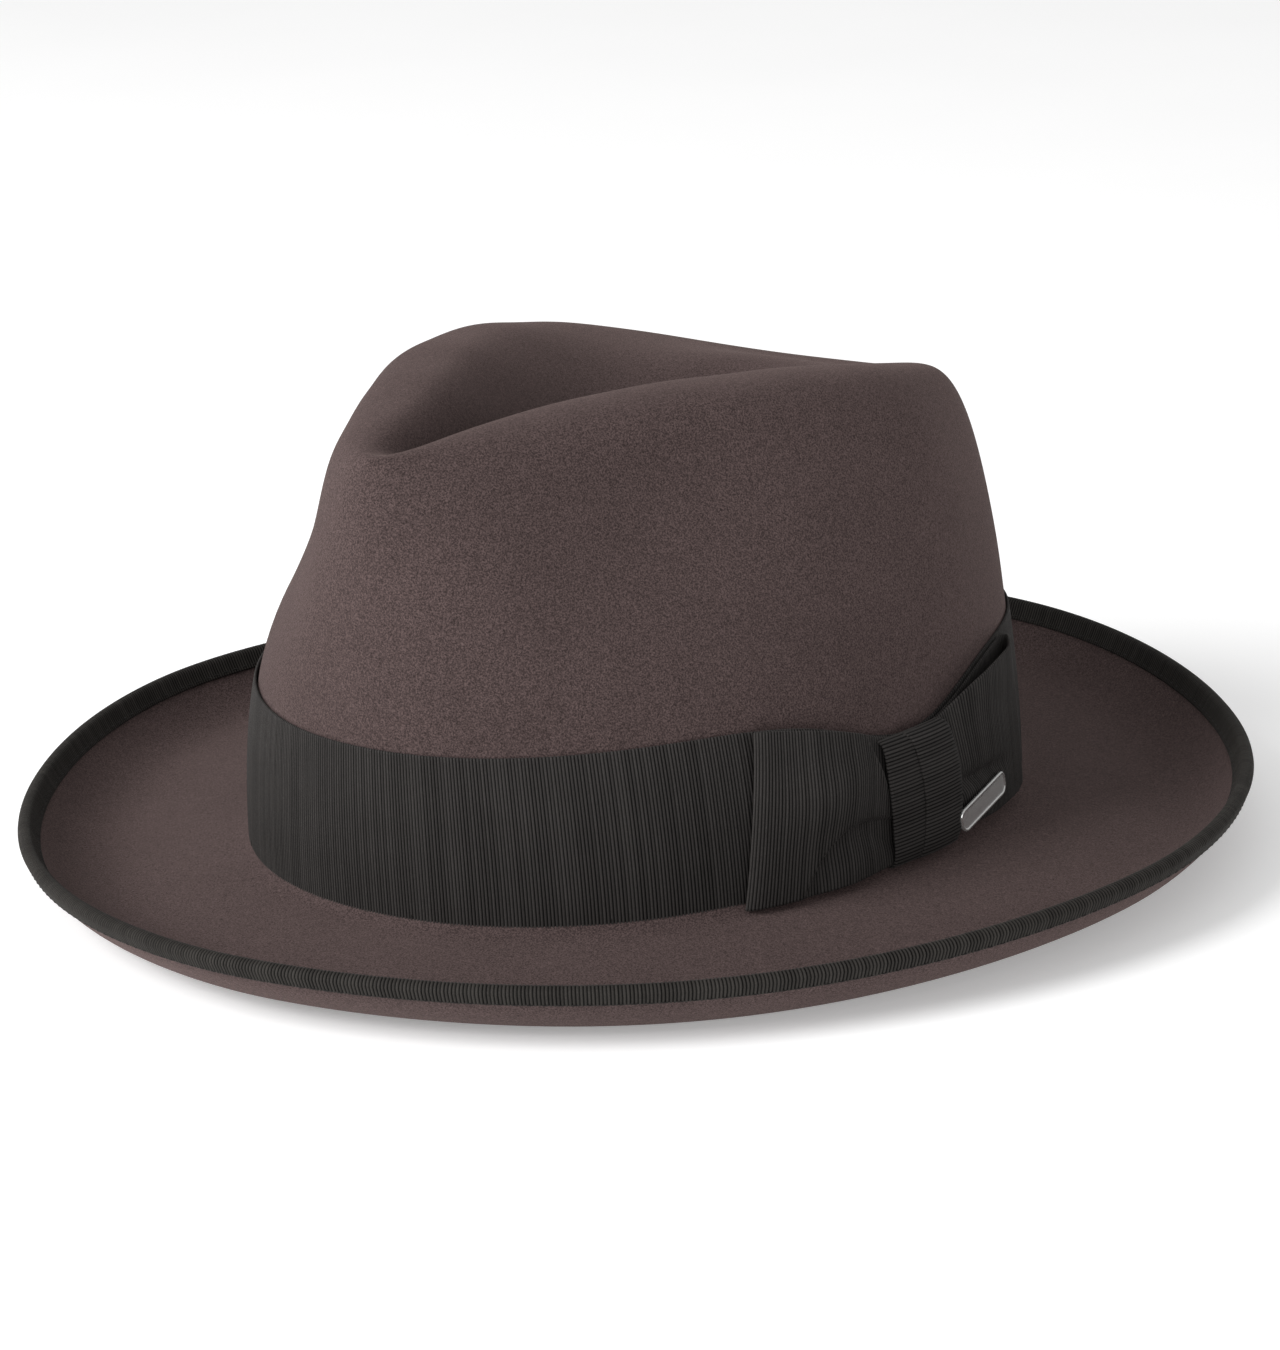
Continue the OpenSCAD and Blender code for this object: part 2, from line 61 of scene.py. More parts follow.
BAND_DIP, DIP_SPREAD, DIP_SHIFT, FOLD_LEAN, REAR_RISE = 10.8, 16.0, 1.2, 0.11, 3.2
BADGE_L, BADGE_H, BADGE_R, BADGE_DEG, BADGE_Z, BADGE_TILT = 22.0, 6.0, 2.4, 97.0, 7.3, 12.0
BADGE_BEND = 95.0
SWEAT_H, SWEAT_T, SWEAT_IN, REED_R = 31.0, 1.0, 3.8, 0.7
LINING_IN, LINING_T = 2.3, 0.4

# ---- Mesh density ----
SKIN_COLUMNS, DENT_ROWS, WALL_ROWS, BRIM_ROWS, CURL_ROWS = 400, 44, 66, 22, 19
TIP_ROW, LINING_FOOT_ROW = 62, 104
# Rounds of smoothing of the felt: over all of it, and then near the crown's rim
SMOOTH_ALL, SMOOTH_RIM = 8, 62
BINDING_RIBS, BINDING_STITCHES = 1130, 290
PER_RIB, PER_BOW_RIB = 3, 4


# ---- Small maths helpers ----
def cos(t):
    return np.cos(np.radians(t))


def sin(t):
    return np.sin(np.radians(t))


def bell(x):
    return np.exp(-np.square(x))


def step(x):
    x = np.clip(x, 0, 1)
    return x * x * (3 - 2 * x)


def mix(a, b, k):
    return a + (b - a) * k


def unit(v):
    return v / np.maximum(np.linalg.norm(v, axis=-1, keepdims=True), 1e-12)


def xyz(x, y, z):
    return np.stack(np.broadcast_arrays(x, y, z), -1).astype(float)


def hills(points, size, seed):
    """Soft random hills from -1 to 1, about size mm across."""
    rng = np.random.default_rng(seed)
    total = np.zeros(points.shape[:-1])
    for _ in range(7):
        way = unit(rng.normal(size=3)) * rng.uniform(0.6, 1.5) * 2 * np.pi / size
        total += np.sin(points @ way + rng.uniform(0, 2 * np.pi))
    return total / 4


CURL_RISE = CURL_R * (1 - cos(CURL_DEG))
CURL_REACH = CURL_R * sin(CURL_DEG)


def edge_wave(t):
    return SIDE_WAVE * cos(2 * t) + CORNER_WAVE * cos(4 * t) - FRONT_DROP * cos(t)


FOOT_Z = FELT + CURL_RISE - EDGE_RISE - edge_wave(np.arange(48) * 7.5).min()


# ---- The hat's shape ----
def oval(t, w, l, power):
    r = (np.abs(cos(t)) ** power + np.abs(sin(t)) ** power) ** (-1 / power)
    return np.stack([w * r * sin(t), -l * r * cos(t)], -1)


def foot_xy(t):
    return oval(t, CROWN_W, CROWN_L, CROWN_POWER) + np.array([0, CROWN_Y])


def edge_xy(t):
    return oval(t, BRIM_W, BRIM_L, BRIM_POWER)


def foot_height(t):
    return FOOT_Z - cos(2 * t)


def edge_height(t):
    return FOOT_Z + EDGE_RISE + edge_wave(t)


def rim_xy(t):
    x = RIM_W * sin(t) * (1 - RIM_TAPER * cos(t))
    y = CROWN_Y - RIM_MID_Y - RIM_L * cos(t) - RIM_END_PULL * cos(2 * t)
    return np.stack([x, y], -1)


def rim_height(t):
    return FOOT_Z + CROWN_H - RIM_SIDE_RISE + RIM_FRONT_RISE * cos(t) - RIM_SIDE_RISE * cos(2 * t)


def wall(t, h):
    """Point of the crown's wall at height h above its foot."""
    t, h = np.broadcast_arrays(np.asarray(t, float), np.asarray(h, float))
    full = rim_height(t) - foot_height(t)
    power = WALL_POWER - WALL_FRONT_ROUND * np.maximum(0, cos(t)) ** 2
    k = np.maximum(0, 1 - (np.maximum(0, h) / full) ** WALL_RISE_POWER) ** (1 / power)
    foot = foot_xy(t)
    out = unit((foot - np.array([0, CROWN_Y])) / np.array([CROWN_W**2, CROWN_L**2]))
    off = np.abs((t + 180) % 360 - 180)
    push = PINCH * bell((off - PINCH_DEG) / PINCH_SPREAD_DEG) * bell((h - PINCH_Z) / PINCH_SPREAD_Z)
    below_ridge = bell((h - full + NEAR_BELOW) / NEAR_SPREAD_Z)
    push = push + NEAR_PRESS * bell((t - NEAR_DEG) / PINCH_SPREAD_DEG) * below_ridge
    xy = mix(rim_xy(t), foot, k[..., None]) - out * push[..., None]
    return xyz(xy[..., 0], xy[..., 1], foot_height(t) + h)


def wall_off(t, h, d):
    """The wall moved outwards by d."""
    t, h, d = np.broadcast_arrays(np.asarray(t, float), np.asarray(h, float), np.asarray(d, float))
    across = wall(t + 1, h) - wall(t - 1, h)
    rise = wall(t, h + 1) - wall(t, np.maximum(0, h - 1))
    return wall(t, h) + unit(np.cross(across, rise)) * d[..., None]


def dent(t, s):
    """Point of the dent from the rim (s = 0) to the keel (s = 1)."""
    top = rim_height(t)
    rim = wall(t, top - foot_height(t))
    keel_y = CROWN_Y - KEEL_MID_Y - KEEL_L * cos(t)
    keel_z = FOOT_Z + CROWN_H - DENT + KEEL_TILT * cos(t) ** 2
    lip = BACK_LIP * ((1 - cos(t)) / 2) ** 4 * sin(180 * s) ** 2
    z = mix(top, keel_z, sin(90 * s) ** DENT_POWER) + lip
    return xyz(rim[..., 0] * (1 - s), mix(rim[..., 1], keel_y, s), z)


def brim_width(t):
    return np.linalg.norm(edge_xy(t) - foot_xy(t), axis=-1)


def brim_at(t, q, z):
    t, q, z = np.broadcast_arrays(t, q, z)
    xy = foot_xy(t) + unit(edge_xy(t) - foot_xy(t)) * q[..., None]
    return xyz(xy[..., 0], xy[..., 1], z)


def curl(t, a, d):
    """Point of the brim's curl at angle a, raised by d above the upper face."""
    q = brim_width(t) - CURL_REACH + (CURL_R - d) * sin(a)
    return brim_at(t, q, edge_height(t) - CURL_RISE + CURL_R - (CURL_R - d) * cos(a))


def felt_skin(columns):
    """The felt's outer face, from the dent's keel over the crown and brim to the brim's edge."""
    t = (np.arange(columns) * 360 / columns)[:, None]
    full = rim_height(t) - foot_height(t)
    low = foot_height(t) - FOOT_DROP
    curl_q = brim_width(t) - CURL_REACH
    s = np.arange(DENT_ROWS, 0, -1) / DENT_ROWS
    i = np.arange(WALL_ROWS) / WALL_ROWS
    a = np.arange(6) * 15.0
    k = np.arange(BRIM_ROWS) / BRIM_ROWS
    skin = np.concatenate(
        [
            dent(t, s[None, :]),
            wall(t, full * sin(90 * (1 - i[None, :] ** 1.6)) ** (4 / 3)),
            brim_at(t, FILLET * (1 - cos(a)), low + FILLET * (1 - sin(a))),
            brim_at(t, mix(FILLET, curl_q, k), mix(low, edge_height(t) - CURL_RISE, k)),
            curl(t, CURL_DEG * np.arange(CURL_ROWS) / (CURL_ROWS - 1), 0.0),
        ],
        1,
    )
    rows = np.arange(skin.shape[1])[None, 1:-1]
    near_rim = bell((rows - DENT_ROWS - 2) / 16)
    in_front = (0.25 + 0.75 * np.maximum(0, cos(t)) ** 0.7 * near_rim)[..., None]
    at_rim = in_front * near_rim[..., None]
    for k in range(SMOOTH_ALL + SMOOTH_RIM):
        weight = at_rim if k >= SMOOTH_ALL else 1.0
        mean = (skin[:, :-2] + 2 * skin[:, 1:-1] + skin[:, 2:]) / 4
        skin[:, 1:-1] = mix(skin[:, 1:-1], mean, weight)
    return skin


def face_normals(points, wrap):
    """Normals of a grid of points: across the first axis and then the second."""
    if wrap:
        along = np.roll(points, -1, 0) - np.roll(points, 1, 0)
    else:
        along = np.gradient(points, axis=0)
    return unit(np.cross(along, np.gradient(points, axis=1)))


# ---- Meshes ----
def grid_faces(n, m, wrap_n, wrap_m):
    j, i = np.meshgrid(np.arange(n if wrap_n else n - 1), np.arange(m if wrap_m else m - 1), indexing="ij")
    j1, i1 = (j + 1) % n, (i + 1) % m
    return np.stack([j * m + i, j1 * m + i, j1 * m + i1, j * m + i1], -1).reshape(-1, 4)


def shell(points, wrap_n=False, wrap_m=True, tone=None):
    """A grid of points as one shell; where its section closes and its ends don't, the ends are capped."""
    n, m = points.shape[:2]
    faces = [grid_faces(n, m, wrap_n, wrap_m)]
    if wrap_m and not wrap_n:
        half = m // 2
        k = np.arange(half - 1)
        cap = np.stack([k, k + 1, m - 2 - k, m - 1 - k], -1)
        cap = cap[np.array([len(set(c)) == 4 for c in cap])]
        faces += [cap, (cap + (n - 1) * m)[:, ::-1]]
    tone = np.full((n, m), 0.5) if tone is None else np.broadcast_to(tone, (n, m))
    return points.reshape(-1, 3), np.concatenate(faces), tone.reshape(-1)


def make(name, shells, material, nodes=(), weld=False, stage=False):
    """One object from shells of (points in mm, quads, tone)."""
    points, quads, tones, start = [], [], [], 0
    for p, q, tone in shells:
        points.append(p)
        quads.append(q + start)
        tones.append(tone)
        start += len(p)
    points, quads, tones = np.concatenate(points) / 1000, np.concatenate(quads), np.concatenate(tones)
    mesh = bpy.data.meshes.new(name)
    mesh.vertices.add(len(points))
    mesh.vertices.foreach_set("co", points.reshape(-1))
    mesh.loops.add(quads.size)
    mesh.loops.foreach_set("vertex_index", quads.reshape(-1).astype(np.int32))
    mesh.polygons.add(len(quads))
    mesh.polygons.foreach_set("loop_start", np.arange(0, quads.size, 4, dtype=np.int32))
    mesh.polygons.foreach_set("use_smooth", np.ones(len(quads), bool))
    mesh.update(calc_edges=True)
    mesh.validate()
    mesh.attributes.new("tone", "FLOAT", "POINT").data.foreach_set("value", tones.astype(np.float32))
    mesh.materials.append(material)
    if weld:
        bm = bmesh.new()
        bm.from_mesh(mesh)
        bmesh.ops.remove_doubles(bm, verts=bm.verts, dist=1e-6)
        bmesh.ops.dissolve_degenerate(bm, edges=bm.edges, dist=1e-7)
        bm.to_mesh(mesh)
        bm.free()
    obj = bpy.data.objects.new(name, mesh)
    bpy.context.scene.collection.objects.link(obj)
    if stage:
        return obj
    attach(obj, "root")
    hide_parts(*nodes)
    return obj


def two_faces(outer, inner):
    """Section loops of a sheet from its outer and inner faces, whose rows run the same way."""
    return np.concatenate([outer, inner[:, ::-1]], 1)


def rib_wave(phase):
    return np.abs(np.sin(np.pi * phase)) ** 0.6


def ribbon(mid, phase, wrap_n=False, thick=RIBBON, tooth=0.22, skip=1, height=RIB_HEIGHT):
    """A ribbed ribbon: mid is its middle surface, columns along its length and rows across its width,
    and phase counts the ribs."""
    n, m = mid.shape[:2]
    phase = np.broadcast_to(phase if np.ndim(phase) == 2 else np.asarray(phase)[:, None], (n, m))
    wave = rib_wave(phase)
    normal = face_normals(mid, wrap_n)
    lift = normal * (thick / 2 + height * (wave - 0.5))[..., None]
    across = unit(np.gradient(mid, axis=1))
    low = mid[:, :1] - across[:, :1] * (0.1 + tooth * wave[:, :1, None])
    high = mid[:, -1:] + across[:, -1:] * (0.1 + tooth * wave[:, -1:, None])
    inner = (mid - lift)[:, ::-1][:, ::skip]
    rng = np.random.default_rng(7)
    yarn = rng.random(4096)[(np.floor(phase + 0.01).astype(int)) % 4096]
    # tone carries painted light and shade: high on the rib tops and low in the grooves between them, plus a
    # small random tone per rib (yarn)
    tone = 0.8 * wave + 0.2 * yarn
    loops = np.concatenate([low, mid + lift, high, inner], 1)
    tones = np.concatenate([tone[:, :1], tone, tone[:, -1:], tone[:, ::-1][:, ::skip]], 1)
    return shell(loops, wrap_n, True, tones)


def rows_across(count, margin=0.012):
    """Places from 0 to 1 across a ribbon, with a close pair at each edge."""
    return np.concatenate([[0], np.linspace(margin, 1 - margin, count), [1]])


def tube(path, radius, sides=8, wrap=True, twist=0, lobes=0, lobe=0.0):
    """A round tube along a closed or open path; lobes and twist make it a laid cord."""
    if wrap:
        along = np.roll(path, -1, 0) - np.roll(path, 1, 0)
    else:
        along = np.gradient(path, axis=0)
    along = unit(along)
    side = unit(np.cross(along, np.array([0.0, 0.0, 1.0])))
    up = np.cross(side, along)
    a = np.arange(sides) * 2 * np.pi / sides
    turn = np.arange(len(path))[:, None] * twist / len(path) * 2 * np.pi
    r = radius * (1 + lobe * np.cos(lobes * (a[None, :] + turn)))
    ring = side[:, None] * (np.cos(a)[None, :, None] * r[..., None]) + up[:, None] * (
        np.sin(a)[None, :, None] * r[..., None]
    )
    return shell(path[:, None] + ring, wrap, True)


def stitch(a, b, out, radius=0.17, lift=0.22):
    """A stitch from a to b that bulges along out and dives in at both ends."""
    k = np.linspace(0, 1, 7)[:, None]
    path = mix(a, b, k) + out * (lift * np.sin(np.pi * k) - radius)
    return tube(path, radius, 6, False)


# ---- Materials ----
def new_material(name):
    mat = bpy.data.materials.new(name)
    mat.use_nodes = True
    nodes = mat.node_tree.nodes
    return mat, nodes, mat.node_tree.links, nodes["Principled BSDF"]


def node(nodes, kind, **values):
    n = nodes.new(kind)
    for key, value in values.items():
        if key.startswith("in_"):
            n.inputs[key[3:].replace("_", " ")].default_value = value
        else:
            setattr(n, key, value)
    return n


def noise(nodes, links, scale, detail=3.0, rough=0.6, stretch=(1, 1, 1), distort=0.0):
    """Noise in the object's own space; scale is in cycles per metre."""
    place = node(nodes, "ShaderNodeTexCoord")
    sized = node(nodes, "ShaderNodeMapping", in_Scale=stretch)
    links.new(place.outputs["Object"], sized.inputs["Vector"])
    tex = node(nodes, "ShaderNodeTexNoise", in_Scale=scale, in_Detail=detail, in_Roughness=rough,
               in_Distortion=distort)
    links.new(sized.outputs["Vector"], tex.inputs["Vector"])
    return tex.outputs["Fac"]


def remap(nodes, links, value, low, high, to_low, to_high):
    n = node(nodes, "ShaderNodeMapRange")
    links.new(value, n.inputs["Value"])
    for key, v in (("From Min", low), ("From Max", high), ("To Min", to_low), ("To Max", to_high)):
        n.inputs[key].default_value = v
    return n.outputs["Result"]


def product(nodes, links, a, b):
    n = node(nodes, "ShaderNodeMath", operation="MULTIPLY")
    links.new(a, n.inputs[0])
    links.new(b, n.inputs[1])
    return n.outputs[0]


def shaded(nodes, links, colour, factor):
    """colour made lighter or darker by factor."""
    n = node(nodes, "ShaderNodeVectorMath", operation="SCALE")
    n.inputs[0].default_value = colour
    links.new(factor, n.inputs["Scale"])
    return n.outputs[0]


def bumped(nodes, links, bsdf, layers):
    """Bump from (height, distance in metres, strength) layers, one on another."""
    last = None
    for height, distance, strength in layers:
        n = node(nodes, "ShaderNodeBump", in_Distance=distance, in_Strength=strength)
        links.new(height, n.inputs["Height"])
        if last is not None:
            links.new(last, n.inputs["Normal"])
        last = n.outputs["Normal"]
    links.new(last, bsdf.inputs["Normal"])


def linear(r, g, b):
    """A colour from 0-255 screen values."""
    def one(c):
        c /= 255
        return c / 12.92 if c <= 0.04045 else ((c + 0.055) / 1.055) ** 2.4
    return (one(r), one(g), one(b))


def set_look(bsdf, roughness, sheen=0.0, sheen_rough=0.5, sheen_tint=(1, 1, 1), specular=0.5, metallic=0.0):
    bsdf.inputs["Roughness"].default_value = roughness
    bsdf.inputs["Sheen Weight"].default_value = sheen
    bsdf.inputs["Sheen Roughness"].default_value = sheen_rough
    bsdf.inputs["Sheen Tint"].default_value = (*sheen_tint, 1)
    bsdf.inputs["Specular IOR Level"].default_value = specular
    bsdf.inputs["Metallic"].default_value = metallic


def felt_material():
    mat, nodes, links, bsdf = new_material("felt")
    set_look(bsdf, 0.95, 0.16, 0.5, linear(214, 186, 180), 0.1)
    clouds = remap(nodes, links, noise(nodes, links, 38, 4, 0.6), 0.3, 0.7, 0.93, 1.07)
    flecks = remap(nodes, links, noise(nodes, links, 900, 3, 0.75, distort=0.8), 0.3, 0.7, 0.82, 1.18)
    grain = remap(nodes, links, noise(nodes, links, 2500, 2, 0.8), 0.36, 0.64, 0.42, 1.58)
    tone = product(nodes, links, product(nodes, links, clouds, flecks), grain)
    links.new(shaded(nodes, links, linear(69, 57.5, 56.5), tone), bsdf.inputs["Base Color"])
    nap = noise(nodes, links, 900, 4, 0.75, distort=1.2)
    bumped(nodes, links, bsdf, [(noise(nodes, links, 140, 3, 0.6), 0.0006, 0.25), (nap, 0.0004, 0.5)])
    return mat


def grosgrain_material(name, colour, sheen=0.05):
    mat, nodes, links, bsdf = new_material(name)
    set_look(bsdf, 0.7, sheen, 0.35, (0.9, 0.88, 0.86), 0.06)
    tone = node(nodes, "ShaderNodeAttribute", attribute_name="tone")
    # The tone attribute makes the rib tops up to 1.7 times lighter and the grooves between them nearly black:
    # painted light on the ribs and painted shade in the grooves, with a small random tone per rib mixed in
    ribs = remap(nodes, links, tone.outputs["Fac"], 0.15, 0.95, 0.04, 1.7)
    clouds = remap(nodes, links, noise(nodes, links, 90, 3, 0.6), 0.3, 0.7, 0.92, 1.08)
    yarn = remap(nodes, links, noise(nodes, links, 3200, 2, 0.6), 0.25, 0.75, 0.8, 1.2)
    shade = product(nodes, links, product(nodes, links, ribs, clouds), yarn)
    links.new(shaded(nodes, links, colour, shade), bsdf.inputs["Base Color"])
    threads = noise(nodes, links, 4200, 2, 0.5)
    bumped(nodes, links, bsdf, [(threads, 0.00008, 0.6)])
    return mat


def thread_material():
    mat, nodes, links, bsdf = new_material("thread")
    set_look(bsdf, 0.7, 0.05, 0.4, specular=0.1)
    twist = remap(nodes, links, noise(nodes, links, 5000, 1, 0.5), 0.3, 0.7, 0.75, 1.25)
    links.new(shaded(nodes, links, linear(33, 31, 30), twist), bsdf.inputs["Base Color"])
    bumped(nodes, links, bsdf, [(noise(nodes, links, 6000, 1, 0.5), 0.00006, 0.6)])
    return mat


def metal_material(name, colour, roughness, brush, metallic):
    mat, nodes, links, bsdf = new_material(name)
    set_look(bsdf, roughness, metallic=metallic)
    grain = noise(nodes, links, 900, 3, 0.6, stretch=brush)
    links.new(shaded(nodes, links, colour, remap(nodes, links, grain, 0.25, 0.75, 0.86, 1.1)),
              bsdf.inputs["Base Color"])
    rim = node(nodes, "ShaderNodeAttribute", attribute_name="tone")
    satin = remap(nodes, links, grain, 0.25, 0.75, roughness * 0.8, roughness * 1.3)
    polish = remap(nodes, links, rim.outputs["Fac"], 0.5, 1, 1, 0.35)
    links.new(product(nodes, links, satin, polish), bsdf.inputs["Roughness"])
    bumped(nodes, links, bsdf, [(grain, 0.00004, 0.35)])
    return mat


def leather_material():
    mat, nodes, links, bsdf = new_material("sweatband_leather")
    set_look(bsdf, 0.42, specular=0.45)
    place = node(nodes, "ShaderNodeTexCoord")
    cells = node(nodes, "ShaderNodeTexVoronoi", feature="DISTANCE_TO_EDGE", in_Scale=1100.0)
    links.new(place.outputs["Object"], cells.inputs["Vector"])
    creases = remap(nodes, links, cells.outputs["Distance"], 0, 0.12, 0, 1)
    tone = product(nodes, links, remap(nodes, links, noise(nodes, links, 60, 4, 0.6), 0.3, 0.7, 0.82, 1.15),
                   remap(nodes, links, creases, 0, 1, 0.82, 1.0))
    links.new(shaded(nodes, links, linear(92, 60, 40), tone), bsdf.inputs["Base Color"])
    polish = remap(nodes, links, noise(nodes, links, 200, 3, 0.6), 0.3, 0.7, 0.36, 0.52)
    links.new(polish, bsdf.inputs["Roughness"])
    bumped(nodes, links, bsdf, [(creases, 0.00012, 0.5), (noise(nodes, links, 300, 3, 0.6), 0.0003, 0.2)])
    return mat


def satin_material():
    mat, nodes, links, bsdf = new_material("satin")
    set_look(bsdf, 0.34, 0.3, 0.3, (1, 0.98, 0.96), 0.6)
    weave = noise(nodes, links, 2600, 2, 0.5, stretch=(1, 1, 0.12))
    tone = product(nodes, links, remap(nodes, links, weave, 0.3, 0.7, 0.92, 1.08),
                   remap(nodes, links, noise(nodes, links, 50, 3, 0.6), 0.3, 0.7, 0.93, 1.07))
    links.new(shaded(nodes, links, linear(104, 98, 98), tone), bsdf.inputs["Base Color"])
    bumped(nodes, links, bsdf, [(noise(nodes, links, 90, 3, 0.5), 0.0008, 0.2), (weave, 0.00005, 0.4)])
    return mat


def plastic_material():
    mat, nodes, links, bsdf = new_material("reed_plastic")
    set_look(bsdf, 0.35, specular=0.5)
    tone = remap(nodes, links, noise(nodes, links, 300, 3, 0.5), 0.3, 0.7, 0.92, 1.06)
    links.new(shaded(nodes, links, linear(222, 214, 196), tone), bsdf.inputs["Base Color"])
    bumped(nodes, links, bsdf, [(noise(nodes, links, 1200, 2, 0.5), 0.00005, 0.3)])
    return mat


def paper_material():
    mat, nodes, links, bsdf = new_material("label_paper")
    set_look(bsdf, 0.7, specular=0.3)
    fibre = noise(nodes, links, 1500, 4, 0.7)
    links.new(shaded(nodes, links, linear(228, 226, 218), remap(nodes, links, fibre, 0.3, 0.7, 0.93, 1.04)),
              bsdf.inputs["Base Color"])
    bumped(nodes, links, bsdf, [(fibre, 0.00005, 0.4)])
    return mat


def floor_material():
    mat, nodes, links, bsdf = new_material("floor")
    set_look(bsdf, 0.85, specular=0.1)
    bsdf.inputs["Emission Color"].default_value = (1, 1, 1, 1)
    bsdf.inputs["Emission Strength"].default_value = 0.25
    tone = remap(nodes, links, noise(nodes, links, 6, 3, 0.5), 0.3, 0.7, 0.99, 1.01)
    links.new(shaded(nodes, links, (0.93, 0.93, 0.93), tone), bsdf.inputs["Base Color"])
    return mat


FELT_MAT = felt_material()
RIBBON_MAT = grosgrain_material("grosgrain", linear(45, 43, 42))
BINDING_MAT = grosgrain_material("grosgrain_binding", linear(42, 40, 38))
THREAD_MAT = thread_material()
METAL_MAT = metal_material("badge_metal", (0.66, 0.66, 0.65), 0.4, (1, 1, 8), 0.8)
RIVET_MAT = metal_material("rivet_metal", (0.62, 0.61, 0.59), 0.35, (1, 1, 1), 1.0)
LEATHER_MAT = leather_material()
SATIN_MAT = satin_material()
REED_MAT = plastic_material()
TAPE_MAT = grosgrain_material("tape", linear(58, 54, 52), 0.15)
PAPER_MAT = paper_material()


# ---- Camera: at the photograph's viewing angle ----
def make_camera():
    azimuth, elevation, roll = math.radians(38), math.radians(18.3), math.radians(-2.77)
    distance, focal, rise = 1.112, 4569 / 1350, 0.0281
    foot = Vector((0, CROWN_Y, FOOT_Z)) / 1000
    back = Vector((math.sin(azimuth) * math.cos(elevation), -math.cos(azimuth) * math.cos(elevation),
                   math.sin(elevation)))
    level = Vector((math.cos(azimuth), math.sin(azimuth), 0))
    upright = back.cross(level)
    right = level * math.cos(roll) + upright * math.sin(roll)
    up = upright * math.cos(roll) - level * math.sin(roll)
    eye = foot + back * distance
    back = (eye - foot - up * rise).normalized()
    up = back.cross(right)
    data = bpy.data.cameras.new("camera")
    data.sensor_width = 36
    data.lens = focal * 36
    data.clip_start, data.clip_end = 0.05, 20
    camera = bpy.data.objects.new("camera", data)
    camera.matrix_world = Matrix.Translation(eye) @ Matrix((right, up, back)).transposed().to_4x4()
    bpy.context.scene.collection.objects.link(camera)
    bpy.context.scene.camera = camera


# ---- Felt ----
def felt_faces():
    """The felt's outer face and its outward normals."""
    outer = felt_skin(SKIN_COLUMNS)
    normal = -face_normals(outer, True)
    top = normal[:, 1] + np.roll(normal[:, 1][::-1], 1, 0)
    normal[:, 0] = unit(top)
    return outer, normal


def make_felt(outer, normal):
    height = outer[..., 2] - FOOT_Z
    lumps = 0.22 * hills(outer, 34, 3) * step((height - 44) / 16)
    outer = outer + normal * lumps[..., None]
    inner = outer - normal * FELT
    points, quads, tone = shell(two_faces(outer, inner), True, False)
    make("felt_hat_body", [(points, quads[:, ::-1], tone)], FELT_MAT, ["felt_body"], weld=True)


# ---- Binding round the brim's edge ----
def make_binding():
    count = BINDING_RIBS * PER_RIB
    t = (np.arange(count) * 360 / count)[:, None]
    width_deg = math.degrees(BINDING_W / CURL_R)
    up = 0.15 + RIBBON / 2
    under_deg = math.degrees(BINDING_UNDER_W / (CURL_R + FELT))
    across = np.array([1, 0.97, 0.66, 0.33, 0])
    flat, under = CURL_DEG - width_deg * across, CURL_DEG - under_deg * across
    centre = curl(t, CURL_DEG, -FELT / 2)
    out = unit(curl(t, CURL_DEG + 0.5, -FELT / 2) - curl(t, CURL_DEG - 0.5, -FELT / 2))
    face = unit(curl(t, CURL_DEG, 0.5) - curl(t, CURL_DEG, -0.5))
    turn = np.radians(np.array([35, 70, 110, 145.0]))[None, :, None]
    radius = FELT / 2 + up
    edge = centre + out * np.sin(turn) * (radius - 0.35) + face * np.cos(turn) * radius
    mid = np.concatenate([curl(t, flat, up), edge, curl(t, under[::-1] + 0.6, -FELT - up)], 1)
    mid = mid[:, ::-1]
    phase = np.arange(count) / PER_RIB
    make("brim_binding_ribbon", [ribbon(mid, phase, True, skip=3)], BINDING_MAT,
         ["brim_binding"])
    seams = []
    sides = ((up + RIBBON / 2, 1, width_deg), (-FELT - up - RIBBON / 2, -1, under_deg))
    for k in range(BINDING_STITCHES):
        a = k * 360 / BINDING_STITCHES
        for face_d, sign, turn_deg in sides:
            inset = CURL_DEG - turn_deg * 0.82
            spot = curl(np.array([a, a + 0.85]), inset, face_d)
            outward = unit(curl(np.array(a), inset, face_d + sign) - spot[0])
            seams.append(stitch(spot[0], spot[1], outward, 0.14, 0.26))
    make("binding_seam", seams, THREAD_MAT, ["binding_stitches"])


# ---- Hatband ----
def pull(t):
    return bell((t - KNOT - DIP_SHIFT) / DIP_SPREAD)


def band_top(t):
    return BAND_H - BAND_DIP * pull(t)


def band_low(t):
    return 0.4 + 1.2 * pull(t)


def even_angles(count):
    """Angles that share out the wall's girth under the hatband evenly, and that girth."""
    fine = np.linspace(0, 360, 1441)
    p = wall(fine, BAND_GIRTH_Z)
    run = np.concatenate([[0], np.cumsum(np.linalg.norm(np.diff(p, axis=0), axis=-1))])
    return np.interp(np.linspace(0, run[-1], count, endpoint=False), run, fine), run[-1]


